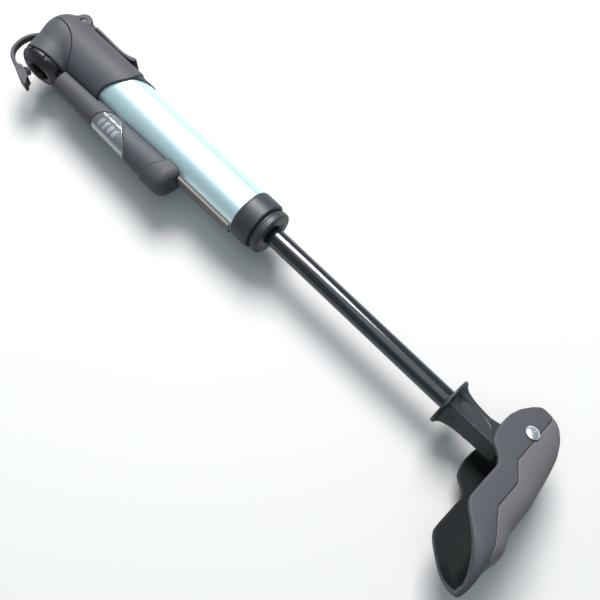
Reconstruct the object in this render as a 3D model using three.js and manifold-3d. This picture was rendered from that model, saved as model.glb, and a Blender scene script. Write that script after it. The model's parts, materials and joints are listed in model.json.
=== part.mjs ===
// Mini hand pump with a lever-lock chuck, an inline pressure gauge and a fold-out handle.
//
// Working frame, in millimetres: the barrel's axis is X, from the head (-X) to the handle (+X), with
// x = 0 at the front face of the guide cap. The chuck, the gauge and the handle's long arm are on the
// -Y side, the lock lever is on the +Y side, and Z is up. The whole pump is moved at the end, so that
// it stands on z = 0 with its plan centred on the origin.

import * as THREE from 'three';
import { mergeVertices } from 'three/addons/utils/BufferGeometryUtils.js';
import Module from 'manifold-3d';

const wasm = await Module();
wasm.setup();

// ---------------------------------------------------------------------------------------------
// Driving dimensions
// ---------------------------------------------------------------------------------------------

const fitGap = 0.12; // between pieces that sit in one another
const jointGap = 0.3; // between pieces cut to one another's shape

// Barrel and its end fittings
const barrelRadius = 12.8;
const boreRadius = 11.3;
const barrelBackX = -139.2;
const barrelStepX = -16.4; // where the thin threaded end begins, under the end collar
const barrelFrontX = -6.4;
const threadRadius = 12.15;
const collarRadius = 13.2;
const collarFrontX = -5.2;
const capRadius = 12.1;
const capBackX = -3.9;
const capFrontX = 0.4;
const railHalfWidth = 4.5;
const railRadius = 13.8;
const railBackX = -53;

// Rod and piston, drawn out
const rodRadius = 5;
const rodBoreRadius = 3.8;
const spigotRadius = 3;
const pistonBackX = -22;
const pistonFrontX = -13.2;
const neckX = 115.7;
const neckFlangeRadius = 12.2;
const neckHalf = 5.6; // half the neck's square section
const neckPinX = 122;
const neckPinRadius = 1.2;
const rodEndX = 128;

// Handle, turned about the barrel's axis from the plane of the chuck
const handleTurn = THREE.MathUtils.degToRad(22);
const pivotX = 152.1;
const pivotY = 3.4; // across the rod's axis, on the short side of the handle
const pinRadius = 2.2;
const lugRadius = 6;
const handleHalfWidth = 19;
const wallThickness = 2.2;
const backThickness = 2.1;
const gripThickness = 0.9;
const cavityStart = -20.6; // ends of the trough's hollow, along the handle
const cavityEnd = 68.1;

// Head
const headRadius = 14.4;
const skirtShortX = -115; // the skirt's edge on the gauge side
const skirtLongX = -98; // and on the lever side
const valveBackX = -146.3; // back of the bore that holds the check valve
const elbowX = -154.3; // where the chuck's axis crosses the barrel's axis
const elbowRadius = 14.2;
const chuckRadius = 12.9;
const chuckLean = THREE.MathUtils.degToRad(10.6); // towards the handle
const chuckBoreRadius = 7.6;
const chuckFaceS = 17.3; // distances called S run along the chuck's axis from the crossing
const ringFrontS = 23.2;
const ringBoreRadius = 5.2;
const plungerStemRadius = 3.5;
const flangeRadius = 7.4; // the plunger's flange and the gasket in front of it
const seamX = -156.5; // the seam is an arc, seen from above, about this point
const seamY = -17.1;
const seamRadius = 19.25;
const coreRadius = 5.6; // what holds the check valve stays in one piece behind the seam

// Lock lever
const leverX = -153;
const leverY = 12;
const leverPinRadius = 1.5;
const camRadius = 3.6;
const camThrow = 1.6;
const hubHalfWidth = 4.5;
const bladeHalfWidth = 6;
const bladeTipX = -117;
const bladeInnerY = 13.8;
const bladeOuterY = 15.4;

// Gauge
const gaugeY = -17;
const gaugeBackX = -144;
const gaugeFrontX = -64;
const gaugeBackRadius = 5.9;
const gaugeFrontRadius = 8.7;
const gaugeBoreY = -19;
const gaugeBoreRadius = 3.6;
const gaugeBoreBackX = -119;
const lensThickness = 1.5;
const windowBackX = -107.2;
const windowFrontX = -81.6;
const windowFloorZ = -4;

// Dust cap
const strapHalfWidth = 2.2;
const strapHalfThickness = 0.95;
const lidHalfWidth = 3.6;

// ---------------------------------------------------------------------------------------------
// Helpers
// ---------------------------------------------------------------------------------------------

/** A closed three.js geometry as a manifold-3d solid, with its faces pointing out. */
function solid(geometry) {
  const bare = geometry.clone();
  bare.deleteAttribute('normal');
  bare.deleteAttribute('uv');
  const welded = mergeVertices(bare, 1e-4);
  const points = welded.attributes.position;
  const corners = welded.index.array;
  const faces = [];
  for (let i = 0; i < corners.length; i += 3) {
    const [a, b, c] = [corners[i], corners[i + 1], corners[i + 2]];
    if (a !== b && b !== c && c !== a) faces.push([a, b, c]);
  }
  const [p, q, r] = [new THREE.Vector3(), new THREE.Vector3(), new THREE.Vector3()];
  let volume = 0;
  for (const [a, b, c] of faces) {
    p.fromBufferAttribute(points, a);
    q.fromBufferAttribute(points, b);
    r.fromBufferAttribute(points, c);
    volume += p.dot(q.cross(r));
  }
  const outward = volume > 0 ? faces : faces.map(([a, b, c]) => [a, c, b]);
  return new wasm.Manifold(new wasm.Mesh({
    numProp: 3,
    vertProperties: new Float32Array(points.array),
    triVerts: new Uint32Array(outward.flat()),
  }));
}

/** A manifold-3d solid as a three.js geometry. */
function geometryOf(body) {
  const mesh = body.getMesh();
  const geometry = new THREE.BufferGeometry();
  geometry.setAttribute('position', new THREE.BufferAttribute(mesh.vertProperties, 3));
  geometry.setIndex(new THREE.BufferAttribute(mesh.triVerts, 1));
  return geometry;
}

const join = (...bodies) => bodies.reduce((whole, body) => whole.add(body));
const cut = (body, ...tools) => tools.reduce((rest, tool) => rest.subtract(tool), body);

/** A solid turned about the X axis from [x, radius] points. */
function turned(profile, segments = 32) {
  const outline = profile.map(([x, radius]) => new THREE.Vector2(radius, x));
  return new THREE.LatheGeometry(outline, segments).rotateZ(-Math.PI / 2);
}

const rod = (radius, x0, x1, segments = 32) =>
  turned([[x0, 0], [x0, radius], [x1, radius], [x1, 0]], segments);

const ring = (outer, inner, x0, x1, segments = 32) =>
  turned([[x0, inner], [x0, outer], [x1, outer], [x1, inner], [x0, inner]], segments);

/** A cylinder along Z, centred on z = 0 unless its ends are given. */
function post(radius, x, y, z0, z1, segments = 24) {
  return new THREE.CylinderGeometry(radius, radius, z1 - z0, segments)
    .rotateX(Math.PI / 2)
    .translate(x, y, (z0 + z1) / 2);
}

function block(x0, x1, y0, y1, z0, z1) {
  return new THREE.BoxGeometry(x1 - x0, y1 - y0, z1 - z0)
    .translate((x0 + x1) / 2, (y0 + y1) / 2, (z0 + z1) / 2);
}

/** A plan outline of [x, y] points made thick along Z. */
function plate(outline, z0, z1) {
  const shape = outline instanceof THREE.Shape
    ? outline
    : new THREE.Shape(outline.map(([x, y]) => new THREE.Vector2(x, y)));
  return new THREE.ExtrudeGeometry(shape, { depth: z1 - z0, bevelEnabled: false, curveSegments: 12 })
    .translate(0, 0, z0);
}

/** A wire spring along X about the line (y, 0), as a round section swept along a helix. */
function spring({ x0, x1, y, radius, wire, turns, steps, sides }) {
  const points = [];
  for (let i = 0; i <= turns * steps; i += 1) {
    const angle = (2 * Math.PI * i) / steps;
    const along = x0 + wire + ((x1 - x0 - 2 * wire) * i) / (turns * steps);
    points.push(new THREE.Vector3(along, y + radius * Math.cos(angle), radius * Math.sin(angle)));
  }
  const section = new THREE.Shape();
  section.absarc(0, 0, wire, 0, 2 * Math.PI);
  return new THREE.ExtrudeGeometry(section, {
    steps: turns * steps,
    extrudePath: new THREE.CatmullRomCurve3(points),
    curveSegments: sides,
    bevelEnabled: false,
  });
}

/** A solid skinned over closed rings of points, with flat ends. */
function loft(rings) {
  const count = rings[0].length;
  const points = rings.flat();
  const faces = [];
  for (let i = 0; i + 1 < rings.length; i += 1) {
    for (let j = 0; j < count; j += 1) {
      const a = i * count + j;
      const b = i * count + ((j + 1) % count);
      faces.push(a, b, b + count, a, b + count, a + count);
    }
  }
  const last = (rings.length - 1) * count;
  for (let j = 1; j + 1 < count; j += 1) {
    faces.push(0, j + 1, j, last, last + j, last + j + 1);
  }
  const geometry = new THREE.BufferGeometry();
  geometry.setAttribute('position', new THREE.Float32BufferAttribute(points.flat(), 3));
  geometry.setIndex(faces);
  return geometry;
}

const finishes = {
  headPlastic: ['#5b5f66', 0.5, 0],
  blackPlastic: ['#23272b', 0.45, 0],
  collarPlastic: ['#3a4046', 0.5, 0],
  gripPlastic: ['#7a7b80', 0.7, 0],
  aluminium: ['#c3d6da', 0.3, 1],
  blackRod: ['#15191c', 0.15, 0.4],
  railPlastic: ['#8c8a88', 0.5, 0],
  rubber: ['#6b6e73', 0.8, 0],
  blackRubber: ['#1c1e20', 0.8, 0],
  clear: ['#8d959a', 0.1, 0],
  scaleCard: ['#d8d2c4', 0.6, 0],
  indicator: ['#b23a2e', 0.5, 0],
  chrome: ['#e4e6e8', 0.1, 1],
  steel: ['#9ea2a6', 0.3, 1],
  brass: ['#b8934f', 0.3, 1],
};

function material(name) {
  const [color, roughness, metalness] = finishes[name];
  const finish = new THREE.MeshStandardMaterial({ color, roughness, metalness });
  if (name === 'clear') Object.assign(finish, { transparent: true, opacity: 0.35 });
  return finish;
}

/** Adds a named piece to a group. */
function piece(group, name, shape, finish) {
  const body = shape.isBufferGeometry ? solid(shape) : shape;
  const mesh = new THREE.Mesh(geometryOf(body), material(finish));
  mesh.name = name;
  group.add(mesh);
}

// ---------------------------------------------------------------------------------------------
// Frames
// ---------------------------------------------------------------------------------------------

const pump = new THREE.Group();

// The chuck's own frame: its +X runs along the chuck's axis, from the crossing to the mouth.
const chuck = new THREE.Group();
chuck.position.x = elbowX;
chuck.rotation.z = chuckLean - Math.PI / 2;
chuck.updateMatrixWorld();

// The handle's own frame: turned about the barrel's axis.
const handle = new THREE.Group();
handle.rotation.x = -handleTurn;

pump.add(chuck, handle);

const alongChuck = (geometry) => solid(geometry.applyMatrix4(chuck.matrixWorld));

// ---------------------------------------------------------------------------------------------
// Head: body, chuck housing and what they hold
// ---------------------------------------------------------------------------------------------

/** Edge of the head's skirt over the barrel: longer on the lever side than on the gauge side. */
function skirtOutline() {
  const outline = new THREE.Shape();
  outline.moveTo(-180, -20);
  outline.lineTo(skirtShortX, -20);
  outline.quadraticCurveTo(skirtShortX + 4, -1, skirtLongX, 14.6);
  outline.lineTo(skirtLongX, 20);
  outline.lineTo(-180, 20);
  outline.closePath();
  return outline;
}

function headOuter() {
  const sleeve = solid(rod(headRadius, elbowX, -95)).intersect(solid(plate(skirtOutline(), -20, 20)));
  const elbow = solid(new THREE.SphereGeometry(elbowRadius, 28, 16)
    .scale(chuckRadius / elbowRadius, 1, 1).translate(elbowX, 0, 0));
  const stub = alongChuck(rod(chuckRadius, 0, chuckFaceS));
  return join(sleeve, elbow, stub);
}

const leverBoss = () => solid(post(4.4, leverX, leverY, -8.2, 8.2));
const seamCutter = (clearance) => cut(
  solid(post(seamRadius + clearance, seamX, seamY, -20, 20, 64)),
  solid(rod(coreRadius + jointGap - clearance, valveBackX - 0.9, -130)),
);

const barrelSocket = () => solid(rod(barrelRadius + fitGap, barrelBackX - 2.1, -90));

function headBody() {
  const valveBore = solid(turned([
    [valveBackX, 0], [valveBackX, 3.6], [barrelBackX - 1.9, 3.6], [barrelBackX - 1.9, 0],
  ], 24));
  return cut(
    join(headOuter(), leverBoss()),
    seamCutter(jointGap),
    barrelSocket(),
    valveBore,
    solid(rod(1.6, -150, -146, 16)),
    alongChuck(rod(chuckBoreRadius, -5, 40)),
    alongChuck(rod(plungerStemRadius + 0.3, -14, 0, 32)),
    solid(block(-161, leverX + 0.2, 7, 20, -hubHalfWidth - 0.2, hubHalfWidth + 0.2)),
    solid(post(5.6, leverX, leverY, -hubHalfWidth - 0.2, hubHalfWidth + 0.2)),
    solid(block(leverX, -140, 13.4, 20, -hubHalfWidth - 0.2, hubHalfWidth + 0.2)),
    solid(block(-147.5, bladeTipX + 1, 13.4, 20, -bladeHalfWidth - 0.4, bladeHalfWidth + 0.4)),
    solid(post(leverPinRadius + fitGap, leverX, leverY, -20, 20, 24)),
  );
}

function chuckHousing() {
  const outer = headOuter().intersect(seamCutter(0));
  return cut(outer, alongChuck(rod(chuckBoreRadius, -20, 40)), barrelSocket());
}

/** The domed end ring, with notches round its back edge for a fingertip grip. */
function chuckRing() {
  const s0 = chuckFaceS + 0.2;
  const dome = solid(turned([
    [s0, ringBoreRadius], [s0, 12.6], [s0 + 2, 12.8], [s0 + 3.6, 11.6], [ringFrontS - 0.5, 9.4],
    [ringFrontS, 8.3], [ringFrontS, 6.2], [ringFrontS - 1.2, ringBoreRadius], [s0, ringBoreRadius],
  ]));
  const notches = [];
  for (let i = 0; i < 8; i += 1) {
    const notch = block(s0 - 1, s0 + 1.5, -1.1, 1.1, 12, 16);
    notches.push(solid(notch.rotateX((i + 0.5) * (Math.PI / 4))));
  }
  return cut(dome, ...notches);
}

function chuckPlunger() {
  const body = solid(turned([
    [-7.5, 0], [-7.5, plungerStemRadius], [-1.5, plungerStemRadius], [-1.5, flangeRadius],
    [5, flangeRadius], [5, 0],
  ]));
  const port = solid(rod(1.5, 1.2, 6, 16));
  const crossPort = solid(new THREE.CylinderGeometry(1.1, 1.1, 20, 16).translate(2, 0, 0));
  return cut(body, port, crossPort);
}

piece(pump, 'head_body', headBody(), 'headPlastic');
piece(pump, 'chuck_housing', chuckHousing(), 'headPlastic');
piece(chuck, 'chuck_ring', chuckRing(), 'blackPlastic');
piece(chuck, 'valve_gasket', turned([
  [7.1, 3.9], [7.1, flangeRadius], [chuckFaceS - 0.1, flangeRadius], [chuckFaceS - 0.1, 4.6],
  [chuckFaceS - 2, 3.9], [7.1, 3.9],
], 32), 'blackRubber');
piece(chuck, 'chuck_plunger', chuckPlunger(), 'blackPlastic');

piece(pump, 'barrel_gasket', ring(12.6, 9.5, barrelBackX - 1.8, barrelBackX - 0.2), 'blackRubber');
piece(pump, 'check_valve_seat', ring(3.5, 1.2, -142.8, -141.6, 24), 'brass');
piece(pump, 'check_valve_disc', rod(2.5, -144, -143, 24), 'blackRubber');
piece(pump, 'check_valve_spring', spring({
  x0: -146.1, x1: -144.2, y: 0, radius: 2, wire: 0.2, turns: 3, steps: 8, sides: 2,
}), 'steel');

// ---------------------------------------------------------------------------------------------
// Lock lever
// ---------------------------------------------------------------------------------------------

/** Seen from above: an eccentric hub, an arm over the head and a thumb tab at its tip. */
function lockLever() {
  const hub = join(
    solid(post(camRadius, leverX - camThrow, leverY, -hubHalfWidth, hubHalfWidth)),
    solid(post(camRadius, leverX, leverY, -hubHalfWidth, hubHalfWidth)),
    solid(block(leverX, -143, bladeInnerY - 0.1, bladeOuterY, -hubHalfWidth, hubHalfWidth)),
  );
  const blade = new THREE.Shape();
  blade.moveTo(-147, bladeInnerY);
  blade.lineTo(bladeTipX - 7, 13.9);
  blade.quadraticCurveTo(bladeTipX, 14.4, bladeTipX, 16.4);
  blade.quadraticCurveTo(bladeTipX - 0.6, 17.6, bladeTipX - 3, 17);
  blade.quadraticCurveTo(bladeTipX - 8, bladeOuterY + 0.2, -147, bladeOuterY);
  blade.closePath();
  return cut(
    join(hub, solid(plate(blade, -bladeHalfWidth, bladeHalfWidth))),
    solid(post(leverPinRadius + 0.08, leverX, leverY, -20, 20, 24)),
  );
}

piece(pump, 'lock_lever', lockLever(), 'headPlastic');
piece(pump, 'lever_pin', post(leverPinRadius, leverX, leverY, -7.9, 7.9, 24), 'steel');

// ---------------------------------------------------------------------------------------------
// Dust cap on its moulded strap
// ---------------------------------------------------------------------------------------------

/** A flat strap curling from the chuck housing round to a plug that hangs before the mouth. */
function dustCap() {
  const middle = new THREE.CatmullRomCurve3([
    [-167.1, -8.2], [-169.6, -12.2], [-170.7, -17], [-169.9, -22.3], [-167.4, -25.8], [-163.6, -27.8],
    [-158, -28.8],
  ].map(([x, y]) => new THREE.Vector3(x, y, 0)));
  const section = new THREE.Shape();
  section.moveTo(-strapHalfWidth, -strapHalfThickness);
  section.lineTo(strapHalfWidth, -strapHalfThickness);
  section.lineTo(strapHalfWidth, strapHalfThickness);
  section.lineTo(-strapHalfWidth, strapHalfThickness);
  section.closePath();
  const strap = new THREE.ExtrudeGeometry(section, { steps: 20, extrudePath: middle, bevelEnabled: false });
  const lid = plate([
    [-159.4, -30.2], [-158.8, -27.2], [-156.6, -26.9], [-149.7, -29.1], [-147, -33.6], [-152.5, -32.9],
  ], -lidHalfWidth, lidHalfWidth);
  const plug = new THREE.CylinderGeometry(2.2, 2.6, 3, 24).translate(-154.6, -26.9, 0);
  return join(solid(strap), solid(lid), solid(plug));
}

piece(pump, 'dust_cap', dustCap(), 'rubber');

// ---------------------------------------------------------------------------------------------
// Gauge
// ---------------------------------------------------------------------------------------------

/** The gauge's tapered outer form, made smaller all round by an inset. */
const gaugeForm = (inset, x0 = gaugeBackX, x1 = gaugeFrontX) => solid(turned([
  [x0, 0],
  [x0, gaugeRadiusAt(x0) - inset],
  [x1, gaugeRadiusAt(x1) - inset],
  [x1, 0],
], 32).translate(0, gaugeY, 0));

function gaugeRadiusAt(x) {
  const share = (x - gaugeBackX) / (gaugeFrontX - gaugeBackX);
  return gaugeBackRadius + share * (gaugeFrontRadius - gaugeBackRadius);
}

/** The arched window over the scale, seen from above, made smaller all round by an inset. */
function windowOutline(inset) {
  const outline = new THREE.Shape();
  outline.moveTo(windowBackX + inset, -30);
  outline.lineTo(windowBackX + inset, -22);
  outline.bezierCurveTo(
    windowBackX + 3 + inset, -13 - inset,
    windowBackX + 9, -9.4 - inset,
    windowFrontX - 13, -12 - inset,
  );
  outline.lineTo(windowFrontX - 1.3 * inset, -23.5);
  outline.lineTo(windowFrontX - 1.3 * inset, -30);
  outline.closePath();
  return outline;
}

const aroundBarrel = (x0, x1) => solid(rod(barrelRadius + jointGap, x0, x1));
const aroundHead = () => solid(rod(headRadius + jointGap, -170, -112));
const aroundChuck = () => alongChuck(rod(chuckRadius + jointGap, -5, 30));

function gaugeHousing() {
  return cut(
    gaugeForm(0),
    aroundBarrel(-120, -50),
    aroundHead(),
    aroundChuck(),
    solid(rod(gaugeBoreRadius, gaugeBoreBackX, -50, 32).translate(0, gaugeBoreY, 0)),
    solid(rod(1, -150, gaugeBoreBackX + 1, 12).translate(0, gaugeBoreY, 0)),
    solid(plate(windowOutline(0), windowFloorZ, 20)),
  );
}

function gaugeLens() {
  return cut(
    gaugeForm(0).intersect(solid(plate(windowOutline(jointGap), windowFloorZ + jointGap, 20))),
    gaugeForm(lensThickness),
    solid(rod(barrelRadius + 1.2, -120, -50)),
    solid(rod(gaugeBoreRadius + 0.1, -120, -60, 32).translate(0, gaugeBoreY, 0)),
  );
}

/** Closes the gauge and stands over the side rail, where the folded handle's tip lies. */
function gaugeEndCap() {
  const x0 = gaugeFrontX + 0.3;
  const outer = turned([
    [x0, 0], [x0, 9.4], [x0 + 5, 9.5], [x0 + 8, 8.6], [x0 + 9.8, 6.2], [x0 + 10.2, 0],
  ], 32).translate(0, gaugeY, 0);
  return cut(
    join(solid(outer), solid(block(x0, x0 + 7, -17, -10.2, -6.5, 6.5))),
    aroundBarrel(-80, -40),
    solid(block(railBackX - 0.4, -40, -15, -10, -railHalfWidth - 0.4, railHalfWidth + 0.4)),
    solid(rod(2.1, x0 - 1, x0 + 3, 24).translate(0, gaugeBoreY, 0)),
  );
}

piece(pump, 'gauge_housing', gaugeHousing(), 'headPlastic');
piece(pump, 'gauge_lens', gaugeLens(), 'clear');
piece(pump, 'gauge_scale_tube', ring(3.45, 2.95, -117.5, gaugeFrontX - 0.2, 32)
  .translate(0, gaugeBoreY, 0), 'scaleCard');
piece(pump, 'gauge_indicator', turned([
  [-115.5, 0], [-115.5, 2.8], [-114.6, 2.8], [-114.6, 2.1], [-113.2, 2.1], [-113.2, 2.8],
  [-108.5, 2.8], [-108.5, 0],
], 24).translate(0, gaugeBoreY, 0), 'indicator');
piece(pump, 'gauge_seal', ring(2.88, 2.2, -114.5, -113.3, 24).translate(0, gaugeBoreY, 0), 'blackRubber');
piece(pump, 'gauge_spring', spring({
  x0: -108.2, x1: gaugeFrontX - 0.1, y: gaugeBoreY, radius: 2.2, wire: 0.3, turns: 8, steps: 8, sides: 2,
}), 'steel');
piece(pump, 'gauge_end_cap', gaugeEndCap(), 'headPlastic');

// ---------------------------------------------------------------------------------------------
// Barrel and its front end
// ---------------------------------------------------------------------------------------------

piece(pump, 'barrel_tube', turned([
  [barrelBackX, boreRadius], [barrelBackX, barrelRadius], [barrelStepX, barrelRadius],
  [barrelStepX, threadRadius], [barrelFrontX, threadRadius], [barrelFrontX, boreRadius],
  [barrelBackX, boreRadius],
]), 'aluminium');

piece(pump, 'side_rail', cut(
  solid(block(railBackX, barrelStepX - 0.3, -railRadius, -10, -railHalfWidth, railHalfWidth)),
  solid(rod(barrelRadius + fitGap, -80, 0)),
), 'railPlastic');

piece(pump, 'end_collar', turned([
  [barrelStepX + 0.1, threadRadius + fitGap], [barrelStepX + 0.1, collarRadius],
  [collarFrontX - 0.6, collarRadius], [collarFrontX, collarRadius - 0.6], [collarFrontX, 11.4],
  [barrelFrontX + 0.2, 11.4], [barrelFrontX + 0.2, threadRadius + fitGap],
  [barrelStepX + 0.1, threadRadius + fitGap],
]), 'collarPlastic');

piece(pump, 'guide_cap', turned([
  [-12.4, 7.3], [-12.4, 11.1], [capBackX, 11.1], [capBackX, capRadius - 0.6],
  [capBackX + 0.6, capRadius], [capFrontX - 0.9, capRadius], [capFrontX, capRadius - 0.9],
  [capFrontX, 5.5], [-0.5, 5.5], [-0.5, 7.3], [-12.4, 7.3],
]), 'collarPlastic');
piece(pump, 'rod_bushing', ring(7.2, rodRadius + 0.08, -12.3, -3.2), 'blackPlastic');
piece(pump, 'rod_wiper', ring(7.2, rodRadius + 0.08, -3, -0.7), 'blackRubber');

// ---------------------------------------------------------------------------------------------
// Piston and rod
// ---------------------------------------------------------------------------------------------

piece(pump, 'piston', turned([
  [pistonBackX, spigotRadius + 0.08], [pistonBackX, 11], [-20, 11], [-20, 9], [-16.4, 9], [-16.4, 11],
  [pistonFrontX, 11], [pistonFrontX, spigotRadius + 0.08], [pistonBackX, spigotRadius + 0.08],
]), 'blackPlastic');
piece(pump, 'piston_seal', turned([
  [-19.8, 9.1], [-19.8, 10.7], [-19.2, boreRadius - 0.06], [-17.2, boreRadius - 0.06], [-16.6, 10.7],
  [-16.6, 9.1], [-19.8, 9.1],
]), 'blackRubber');

/** The pin that holds the rod in the neck lies across the rod, along Y. */
const neckPinForm = (radius, reach) =>
  post(radius, neckPinX, 0, -reach, reach, 20).rotateX(Math.PI / 2);
const neckPinHole = () => solid(neckPinForm(neckPinRadius + 0.1, 9));

function rodTube() {
  const tube = turned([
    [pistonBackX + 0.1, 0], [pistonBackX + 0.1, spigotRadius], [pistonFrontX + 0.2, spigotRadius],
    [pistonFrontX + 0.2, rodRadius], [rodEndX, rodRadius], [rodEndX, rodBoreRadius],
    [-8, rodBoreRadius], [-8, 0],
  ]);
  return cut(
    solid(tube),
    neckPinHole(),
    solid(rod(1.6, pistonBackX - 1, -14, 20)),
  );
}

piece(handle, 'rod_tube', rodTube(), 'blackRod');
piece(handle, 'piston_screw', turned([
  [pistonBackX - 2.2, 0], [pistonBackX - 2.2, 3.2], [pistonBackX - 1.6, 4.2], [pistonBackX - 0.2, 4.2],
  [pistonBackX - 0.2, 1.5], [-14.6, 1.5], [-14.6, 0],
], 24), 'steel');

// ---------------------------------------------------------------------------------------------
// Neck: the trumpet on the rod's end and the tongue that the handle turns on
// ---------------------------------------------------------------------------------------------

function handleNeck() {
  const trumpet = turned([
    [neckX, 0], [neckX, neckFlangeRadius], [neckX + 1.4, neckFlangeRadius], [neckX + 2.4, 10.6],
    [neckX + 5, 9.3], [neckX + 9, 8.3], [neckX + 14, 7.5], [neckX + 19, 6.9], [neckX + 19, 0],
  ]);
  const square = block(neckX + 6, pivotX - 6, -neckHalf, neckHalf, -neckHalf, neckHalf);
  const tongue = plate([
    [neckX + 16, -neckHalf], [pivotX - 1.5, -2.1], [pivotX - 1.5, pivotY + 6.5],
    [neckX + 20, neckHalf],
  ], -neckHalf, neckHalf);
  const eye = post(6.5, pivotX, pivotY, -neckHalf, neckHalf);
  const sleeve = solid(rod(rodRadius + fitGap + 0.4, neckX, rodEndX + 0.8));
  const pocket = (z) => cut(
    solid(new THREE.SphereGeometry(1, 16, 8).scale(9, 2.9, 1.8).translate(neckX + 12, 0, z)),
    sleeve,
  );
  return cut(
    join(solid(trumpet), solid(square), solid(tongue), solid(eye)),
    solid(rod(rodRadius + fitGap, neckX - 1, rodEndX + 0.2)),
    neckPinHole(),
    solid(post(pinRadius + 0.08, pivotX, pivotY, -9, 9, 24)),
    pocket(neckHalf + 0.5),
    pocket(-neckHalf - 0.5),
  );
}

piece(handle, 'handle_neck', handleNeck(), 'collarPlastic');
piece(handle, 'neck_pin', neckPinForm(neckPinRadius, 6.6), 'steel');

// ---------------------------------------------------------------------------------------------
// Handle
// ---------------------------------------------------------------------------------------------

// Stations along the handle, from the short end to the spoon tip: distance from the rod's axis towards
// the long arm, front edge, back, half width.
const stations = [
  [-22.5, 149.6, 158.6, 15],
  [-20.5, 148, 162.4, 17.6],
  [-16, 145, 166, 18.8],
  [-9.5, 141.4, 168.8, handleHalfWidth],
  [-3, 139.7, 170, handleHalfWidth],
  [4, 139.5, 171, handleHalfWidth],
  [11, 140.6, 171.8, handleHalfWidth],
  [14.5, 142, 172.2, handleHalfWidth],
  [17.8, 147.2, 172.5, handleHalfWidth],
  [21.5, 149.8, 172.8, handleHalfWidth],
  [34, 149.7, 172.8, handleHalfWidth],
  [39, 149.7, 173, handleHalfWidth],
  [44.5, 149.9, 175.2, 18.9],
  [48, 152, 176, 18.8],
  [51, 155, 175.6, 18.7],
  [54, 158.3, 174.4, 18.5],
  [57, 161.3, 174, 17.9],
  [60, 164.2, 173.9, 16.5],
  [63, 167.2, 174, 14],
  [65.5, 169.6, 174.2, 10.8],
  [67.5, 171.2, 174.2, 7.3],
  [69, 172, 174.1, 3.4],
];

/** A D-shaped ring at one station: an open front and a back with well rounded corners. */
function handleRing([along, front, back, half], frontReach, inset, backInset) {
  const points = [];
  const steps = 10;
  for (let i = 0; i <= steps; i += 1) {
    const angle = Math.PI * (i / steps - 0.5);
    const across = Math.sign(Math.sin(angle)) * Math.abs(Math.sin(angle)) ** 0.55;
    const deep = Math.abs(Math.cos(angle)) ** 0.55;
    points.push([front + (back - backInset - front) * deep, -along, (half - inset) * across]);
  }
  if (frontReach > 0) {
    points.unshift([front - frontReach, -along, inset - half]);
    points.push([front - frontReach, -along, half - inset]);
  }
  return points;
}

const handleForm = (rows, frontReach, inset, backInset) =>
  solid(loft(rows.map((row) => handleRing(row, frontReach, inset, backInset))));

/** Everything behind the zigzag edge of the grip panel, seen from above. */
const gripZone = (clearance) => solid(plate([
  [154.9 - clearance, 30], [154.9 - clearance, -12.7], [160.8 - clearance, -21.6],
  [160.8 - clearance, -38], [169.9 - clearance, -52], [171.6 - clearance, -57.5 - clearance],
  [190, -57.5 - clearance], [190, 30],
], -25, 25));

function handleShell() {
  const outer = handleForm(stations, 0, 0, 0);
  const recessed = handleForm(stations, 0, gripThickness + jointGap, gripThickness + jointGap);
  const cavityStations = stations.slice(1).map(([along, ...section]) =>
    [THREE.MathUtils.clamp(along, cavityStart, cavityEnd), ...section]);
  const cavity = handleForm(cavityStations, 12, wallThickness, backThickness);
  const lug = (z0, z1) => solid(post(lugRadius, pivotX, pivotY, z0, z1)).intersect(recessed);
  const inner = neckHalf + 0.4;
  const lugReach = handleHalfWidth - wallThickness + 0.5;
  const shell = cut(outer, gripZone(jointGap)).add(recessed);
  return cut(
    join(cut(shell, cavity), lug(inner, lugReach), lug(-lugReach, -inner)),
    solid(post(pinRadius + 0.08, pivotX, pivotY, -30, 30, 24)),
  );
}

function gripPanel() {
  const outer = handleForm(stations, 0, 0, 0);
  const core = handleForm(stations, 5, gripThickness, gripThickness);
  return cut(outer, core).intersect(gripZone(0));
}

piece(handle, 'handle_shell', handleShell(), 'headPlastic');
piece(handle, 'grip_panel', gripPanel(), 'gripPlastic');

/** The domed head that shows on both walls, over the pin's ends. */
const pinHeadZ = handleHalfWidth + 0.1;
const pinHead = () => turned([
  [pinHeadZ, 0], [pinHeadZ, 3.5], [pinHeadZ + 0.7, 3.3], [pinHeadZ + 1.3, 2.2], [pinHeadZ + 1.5, 0],
]);

piece(handle, 'pivot_pin', join(
  solid(pinHead().rotateY(-Math.PI / 2).translate(pivotX, pivotY, 0)),
  solid(post(pinRadius, pivotX, pivotY, 0.1 - pinHeadZ, pinHeadZ + 0.2)),
), 'chrome');
piece(handle, 'pivot_cap', pinHead().rotateY(Math.PI / 2).translate(pivotX, pivotY, 0), 'chrome');

// ---------------------------------------------------------------------------------------------
// Stand the pump on z = 0 with its plan centred on the origin
// ---------------------------------------------------------------------------------------------

pump.updateMatrixWorld(true);
const box = new THREE.Box3().setFromObject(pump, true);
const centre = box.getCenter(new THREE.Vector3());
pump.position.set(-centre.x, -centre.y, -box.min.z);
pump.updateMatrixWorld(true);

export default pump;
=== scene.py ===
"""Looks of the mini hand pump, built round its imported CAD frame.

Shapes are worked out in millimetres in the pump's own frame: the barrel's axis is X, from the head (-X)
to the handle (+X), with x = 0 just behind the guide cap's front face. The chuck and the gauge are on
the -Y side, the lock lever is on the +Y side, and Z is up.
"""

import json
import math
from itertools import product

import bmesh
import bpy
import numpy as np
from mathutils import Matrix, Vector

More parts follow.
